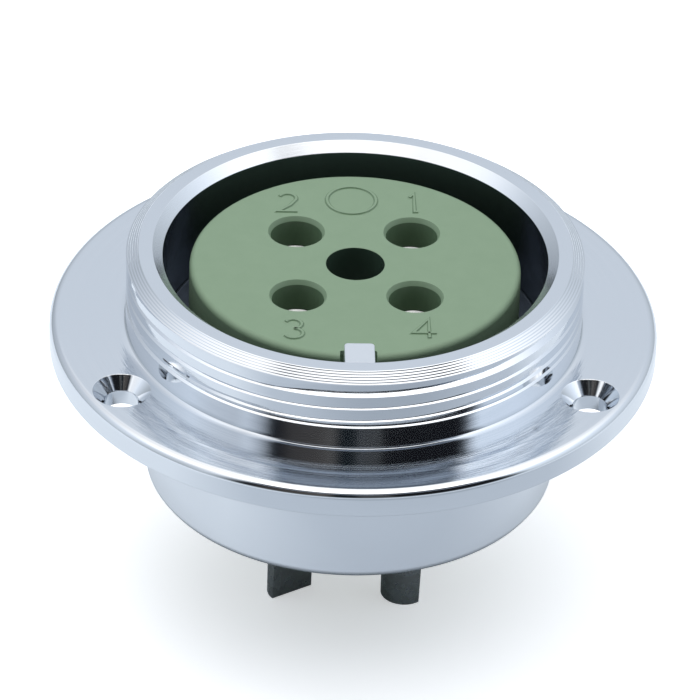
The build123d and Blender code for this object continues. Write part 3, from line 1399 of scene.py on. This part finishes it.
        # The darker line round the ridge, painted shade, lies just above the face, and the ridge's underside
        # just below it
        rim, lip, sunk = foot + self.mark_rim, 0.004, -0.03
        profile = [(-rim, sunk), (-rim, lip), (-foot, lip), (-top, self.mark_height)]
        profile += [(-reach, lift) for reach, lift in reversed(profile)]
        rows = []
        count = len(points)
        for k, point in enumerate(points):
            here = Vector(point)
            before = Vector(points[(k - 1) % count]) if closed or k > 0 else None
            after = Vector(points[(k + 1) % count]) if closed or k < count - 1 else None
            first = (here - before).normalized() if before is not None else (after - here).normalized()
            second = (after - here).normalized() if after is not None else first
            along = (first + second).normalized()
            side = Vector((-along.y, along.x))
            # A bend widens the ridge to its mitre, and a sharp bend's mitre is held back
            stretch = 1 / max(0.45, abs(along.dot(first)))
            row = []
            for reach, lift in profile:
                spot = here + side * reach * stretch
                row.append(mesh.bm.verts.new(Vector((spot.x, spot.y, self.face + lift)) * MM))
            rows.append(row)
        pairs = list(zip(rows, rows[1:])) + ([(rows[-1], rows[0])] if closed else [])
        for first_row, second_row in pairs:
            for k in range(len(profile)):
                n = (k + 1) % len(profile)
                face = mesh.bm.faces.new((first_row[k], second_row[k], second_row[n], first_row[n]))
                # Only the flat top has the moulded finish, and the sides and the line round it take the
                # darker one as painted shade
                face.material_index = 0 if k == 3 else 1
        if not closed:
            mesh.bm.faces.new(rows[0])
            mesh.bm.faces.new(rows[-1][::-1])

    def build_marks(self, materials: list[bpy.types.Material]) -> list[bpy.types.Object]:
        """The raised digits, and a plain ring where the moulding has a round boss mark.

        Args:
            materials: The moulded finish, and the darker one on each stroke's sides and round it, which is
                painted shade.

        Returns:
            The objects.
        """
        made = []
        half = self.mark_size / 2
        for name, (centre, lines) in self.strokes().items():
            mesh = RingMesh()
            for line in lines:
                points = [(centre[0] + self.mark_narrowing * x * half, centre[1] + y * half) for x, y in line]
                self.raise_stroke(mesh, points, False)
            made.append(mesh.finish(name, materials))
        mesh = RingMesh()
        x, y = self.ring_place
        r = self.ring_radius
        turns = [2 * math.pi * k / self.ring_steps for k in range(self.ring_steps)]
        self.raise_stroke(mesh, [(x + r * math.cos(t), y + r * math.sin(t)) for t in turns], True)
        made.append(mesh.finish("plain_ring_mark", materials))
        for piece in made:
            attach(piece, BODY)
        return made


# Pieces that keep their CAD shape


class KeptNodes:
    """The contacts, the clamping parts and the rear parts, which keep their CAD meshes."""

    def dress(self, name: str, material: bpy.types.Material) -> bpy.types.Object:
        """Gives one CAD node its finish.

        Args:
            name: The node's name.
            material: The finish.

        Returns:
            The node's object.
        """
        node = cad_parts[name]
        node.data.materials.clear()
        node.data.materials.append(material)
        LOG.info("%s dressed in %s", name, material.name)
        return node

    def dress_all(self, green: bpy.types.Material) -> None:
        """Gives every kept node its finish.

        Args:
            green: The moulded finish, which the rear insulator shares.
        """
        silver, hood = SILVER.material(), HOOD.material()
        zinc, spring, rubber = ZINC.material(), SPRING.material(), MouldedRubber().material()
        for number in range(1, 5):
            self.dress(f"contact_{number}", silver)
            self.dress(f"contact_hood_{number}", hood)
        for name in ("clamp_screw", "spring_washer", "clamp_nut"):
            self.dress(name, zinc)
        self.dress("retaining_ring", spring)
        self.dress("insulator_seal", rubber)
        self.dress("rear_insulator", green)


# Studio


@dataclass
class Studio:
    """A pale floor, the soft surroundings that the chrome mirrors, one soft lamp and the camera.

    The surroundings are given by angle in degrees: elevation from -90 to 90, and bearing from -180 to
    180 with the front at -90. The four angles of a strip are where it fades in and where it fades out.

    Attributes:
        floor_size: Side of the floor in metres.
        floor_height: Height of the floor in millimetres, at the solder tails' tips.
        floor_colour: Colour of the floor.
        card_tones: The floor as the metal shows it, greyer than to the camera as painted shade: its tone by
            distance in metres from the shade.
        shade_place: Where the painted shade of the photographer falls on the floor.
        camera_glow: Light of its own that the floor shows to the camera, so that its shadow stays pale.
        metal_glow: Light of its own that the metal shows, as from a card lit from below.
        metal_glow_from: Distances from the axis in metres over which that light begins.
        sky_tones: Light of the surroundings by elevation.
        wall_tones: How much more or less of it comes from each bearing.
        opening_tones: The dark opening in front, by bearing.
        opening_bearings: Bearings of the opening.
        opening_elevations: Elevations of the opening.
        lip_elevations: Elevations of the paler strip in the opening.
        lip_tone: Light of that strip.
        lamp_size: Side of the lamp in metres.
        lamp_power: Power of the lamp in watts.
        lamp_place: Place of the lamp in metres.
        camera_place: Place of the camera in millimetres.
        camera_axes: The camera's axes as rows of its rotation matrix.
        lens: Focal length in millimetres on a 36 mm sensor.
    """

    floor_size: float = 12.0
    floor_height: float = -35.3
    floor_colour: str = "#f7f8f9"
    card_tones: tuple[tuple[float, str], ...] = (
        (0.13, "#8b929a"),
        (0.185, "#9da4ac"),
        (0.22, "#a1a8b0"),
        (0.262, "#bdc3c9"),
        (0.34, "#c2c8ce"),
    )
    shade_place: tuple[float, float, float] = (0.08, -0.26, 0.0)
    camera_glow: float = 0.5
    metal_glow: float = 0.55
    metal_glow_from: Span = (0.026, 0.05)
    sky_tones: tuple[tuple[float, Tone], ...] = (
        (-90, (0.46, 0.50, 0.55)),
        (4, (0.50, 0.55, 0.60)),
        (34, (0.74, 0.80, 0.88)),
        (46, (1.08, 1.11, 1.15)),
        (58, (1.42, 1.40, 1.38)),
        (90, (1.52, 1.48, 1.45)),
    )
    wall_tones: tuple[tuple[float, Tone], ...] = (
        (-180, (1.26, 1.26, 1.26)),
        (-166, (1.09, 1.08, 1.07)),
        (-152, (0.98, 0.97, 0.96)),
        (-134, (1.30, 1.30, 1.30)),
        (0, (1.36, 1.37, 1.38)),
        (35, (1.15, 1.15, 1.15)),
        (60, (1.0, 1.0, 1.0)),
        (105, (0.98, 0.98, 0.98)),
        (118, (0.84, 0.84, 0.85)),
        (145, (0.95, 0.95, 0.95)),
        (180, (1.26, 1.26, 1.26)),
    )
    opening_tones: tuple[tuple[float, Tone], ...] = (
        (-146, (0.30, 0.33, 0.36)),
        (-129, (0.016, 0.018, 0.022)),
        (-121, (0.060, 0.056, 0.055)),
        (-108, (0.080, 0.074, 0.070)),
        (-101, (0.110, 0.104, 0.098)),
        (-96, (0.012, 0.017, 0.021)),
        (-90, (0.014, 0.019, 0.022)),
        (-87, (0.072, 0.076, 0.080)),
        (-77, (0.066, 0.068, 0.068)),
        (-75, (0.012, 0.013, 0.015)),
        (-36, (0.012, 0.013, 0.016)),
        (-24, (0.30, 0.33, 0.36)),
    )
    opening_bearings: tuple[float, ...] = (-146, -132, -32, -24)
    opening_elevations: tuple[float, ...] = (4, 12, 57.5, 59)
    lip_elevations: tuple[float, ...] = (44, 46, 48.5, 50)
    lip_tone: Tone = (0.40, 0.46, 0.55)
    lamp_size: float = 0.45
    lamp_power: float = 1.1
    lamp_place: tuple[float, float, float] = (-0.18, 0.10, 0.62)
    camera_place: tuple[float, float, float] = (-27.239, -700.557, 472.594)
    camera_axes: tuple[tuple[float, float, float], ...] = (
        (0.99942856, -0.01146307, -0.03179869),
        (-0.01990456, 0.56075395, -0.82774321),
        (0.02731972, 0.82790314, 0.56020535),
    )
    lens: float = 329.79

    def build_floor(self) -> bpy.types.Object:
        """Builds the floor, near white to the camera and greyer in the metal.

        Returns:
            The floor.
        """
        bpy.ops.mesh.primitive_plane_add(size=self.floor_size, location=(0, 0, self.floor_height * MM))
        floor = bpy.context.object
        floor.name = "studio_floor"
        material, tree, shader = start_material("studio_floor_painted_shade")
        path = add_node(tree, "ShaderNodeLightPath")
        glossy = path.outputs["Is Glossy Ray"]
        place = add_node(tree, "ShaderNodeTexCoord").outputs["Object"]
        ahead = add_node(
            tree, "ShaderNodeVectorMath", {0: place, 1: self.shade_place}, operation="DISTANCE"
        )
        # The floor in the metal is greyer, darkest round the shade place: painted shade
        card = add_node(tree, "ShaderNodeValToRGB", {"Fac": ahead.outputs["Value"]})
        set_ramp(card, [(reach, linear(tone)) for reach, tone in self.card_tones])
        centre = add_node(tree, "ShaderNodeVectorMath", {0: place}, operation="LENGTH")
        near = add_node(
            tree,
            "ShaderNodeMapRange",
            {
                "Value": centre.outputs["Value"],
                "From Min": self.metal_glow_from[0],
                "From Max": self.metal_glow_from[1],
                "To Max": self.metal_glow,
            },
        )
        paper = linear(self.floor_colour)
        blend = add_node(
            tree, "ShaderNodeMix", {0: glossy, 6: paper, 7: card.outputs["Color"]}, data_type="RGBA"
        )
        share = add_node(
            tree,
            "ShaderNodeMath",
            {0: path.outputs["Is Camera Ray"], 1: self.camera_glow},
            operation="MULTIPLY",
        )
        shine = add_node(
            tree,
            "ShaderNodeMath",
            {0: glossy, 1: near.outputs[0], 2: share.outputs[0]},
            operation="MULTIPLY_ADD",
        )
        tree.links.new(blend.outputs[2], shader.inputs["Base Color"])
        tree.links.new(blend.outputs[2], shader.inputs["Emission Color"])
        tree.links.new(shine.outputs[0], shader.inputs["Emission Strength"])
        shader.inputs["Roughness"].default_value = 0.9
        shader.inputs["Specular IOR Level"].default_value = 0.1
        floor.data.materials.append(material)
        return floor

    def build_world(self) -> None:
        """Builds soft light from above, paler walls at the sides and a dark opening in front."""
        world = bpy.data.worlds.new("studio")
        bpy.context.scene.world = world
        world.use_nodes = True
        tree = world.node_tree
        tree.nodes.clear()
        way = add_node(tree, "ShaderNodeTexCoord").outputs["Generated"]
        split = add_node(tree, "ShaderNodeSeparateXYZ", {0: way})
        rise = add_node(tree, "ShaderNodeMath", {0: split.outputs[2]}, operation="ARCSINE")
        elevation = add_node(
            tree,
            "ShaderNodeMapRange",
            {"Value": rise.outputs[0], "From Min": -math.pi / 2, "From Max": math.pi / 2},
        )
        turn = add_node(
            tree, "ShaderNodeMath", {0: split.outputs[1], 1: split.outputs[0]}, operation="ARCTAN2"
        )
        bearing = add_node(
            tree, "ShaderNodeMapRange", {"Value": turn.outputs[0], "From Min": -math.pi, "From Max": math.pi}
        )
        # Where each angle is read, where it starts, and how far it runs
        by_elevation = (elevation.outputs[0], -90, 180)
        by_bearing = (bearing.outputs[0], -180, 360)
        tones = {}
        for name, (place, start, length), stops in (
            ("sky", by_elevation, self.sky_tones),
            ("walls", by_bearing, self.wall_tones),
            ("opening", by_bearing, self.opening_tones),
            ("across", by_bearing, self.strip(self.opening_bearings)),
            ("up", by_elevation, self.strip(self.opening_elevations)),
            ("lip", by_elevation, self.strip(self.lip_elevations)),
        ):
            node = add_node(tree, "ShaderNodeValToRGB", {"Fac": place})
            set_ramp(node, [((angle - start) / length, (*tone, 1.0)) for angle, tone in stops])
            tones[name] = node.outputs["Color"]
        sky = add_node(
            tree, "ShaderNodeVectorMath", {0: tones["sky"], 1: tones["walls"]}, operation="MULTIPLY"
        )
        front = add_node(
            tree,
            "ShaderNodeMix",
            {0: tones["lip"], 6: tones["opening"], 7: (*self.lip_tone, 1.0)},
            data_type="RGBA",
        )
        both = add_node(
            tree, "ShaderNodeMath", {0: tones["across"], 1: tones["up"]}, operation="MULTIPLY"
        )
        blend = add_node(
            tree,
            "ShaderNodeMix",
            {"Factor": both.outputs[0], 6: sky.outputs[0], 7: front.outputs[2]},
            data_type="RGBA",
        )
        light = add_node(tree, "ShaderNodeBackground", {"Color": blend.outputs[2], "Strength": 1.0})
        add_node(tree, "ShaderNodeOutputWorld", {"Surface": light.outputs[0]})

    @staticmethod
    def strip(angles: tuple[float, ...]) -> list[tuple[float, Tone]]:
        """Stops that are black outside a strip's four angles and white between the middle two."""
        black, white = (0.0, 0.0, 0.0), (1.0, 1.0, 1.0)
        return list(zip(angles, (black, white, white, black)))

    def build_lamp(self) -> None:
        """One large soft lamp above, which only the matt surfaces and the floor take light from."""
        data = bpy.data.lights.new("overhead_softbox", "AREA")
        data.shape = "SQUARE"
        data.size = self.lamp_size
        data.energy = self.lamp_power
        lamp = bpy.data.objects.new("overhead_softbox", data)
        bpy.context.scene.collection.objects.link(lamp)
        lamp.location = self.lamp_place
        lamp.rotation_mode = "QUATERNION"
        lamp.rotation_quaternion = (-Vector(lamp.location)).to_track_quat("-Z", "Y")
        lamp.visible_glossy = False

    def build_camera(self) -> None:
        """The camera of the photograph, as fitted to the flange, barrel and skirt."""
        data = bpy.data.cameras.new("camera")
        data.lens = self.lens
        data.sensor_width = 36.0
        data.clip_start, data.clip_end = 0.01, 20.0
        camera = bpy.data.objects.new("camera", data)
        bpy.context.scene.collection.objects.link(camera)
        place = Matrix.Translation(Vector(self.camera_place) * MM)
        camera.matrix_world = place @ Matrix(self.camera_axes).to_4x4()
        bpy.context.scene.camera = camera

    def build(self) -> None:
        """Builds everything round the object."""
        self.build_camera()
        self.build_floor()
        self.build_world()
        self.build_lamp()
        bpy.context.scene.view_settings.view_transform = "Standard"


def main() -> None:
    """Builds the connector and the studio."""
    logging.basicConfig(level=logging.INFO, format="%(name)s %(message)s")
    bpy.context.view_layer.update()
    Studio().build()
    chrome, cast = TurnedChrome().material(), CastChrome().material()
    green = MouldedInsulator().material()
    # The holes take a glossier green, and its darker colour is painted shade in the holes
    hole = MouldedInsulator("moulded_hole_wall_painted_shade", "#6d866b", "#627a60", 0.25).material()
    # The centre hole's near-black green is painted shade in the deep hole
    centre = MouldedInsulator("moulded_centre_hole_painted_shade", "#394b40", "#314238", 0.25).material()
    # The flange's front is faced across in the lathe, which leaves higher rings
    faced = TurnedChrome("faced_chrome_plate", wave_mm=0.003, drift_height_mm=0.02).material()
    # The bevel in the mouth is bored and hardly polished, so it mirrors only broad shapes
    bored = TurnedChrome("bored_chrome_plate", roughness=0.24, feed_mm=0.2, wave_mm=0.003).material()
    shell = Shell()
    # The mouth's wall and the seat take darker finishes that paint shade into the mouth
    shell.build([chrome, WALL.material(), SEAT.material(), faced, bored])
    shell.build_key([cast])
    insulator = FrontInsulator()
    insulator.build([green, hole, centre])
    insulator.build_marks([green, hole])
    KeptNodes().dress_all(green)


if __name__ == "__main__":
    main()
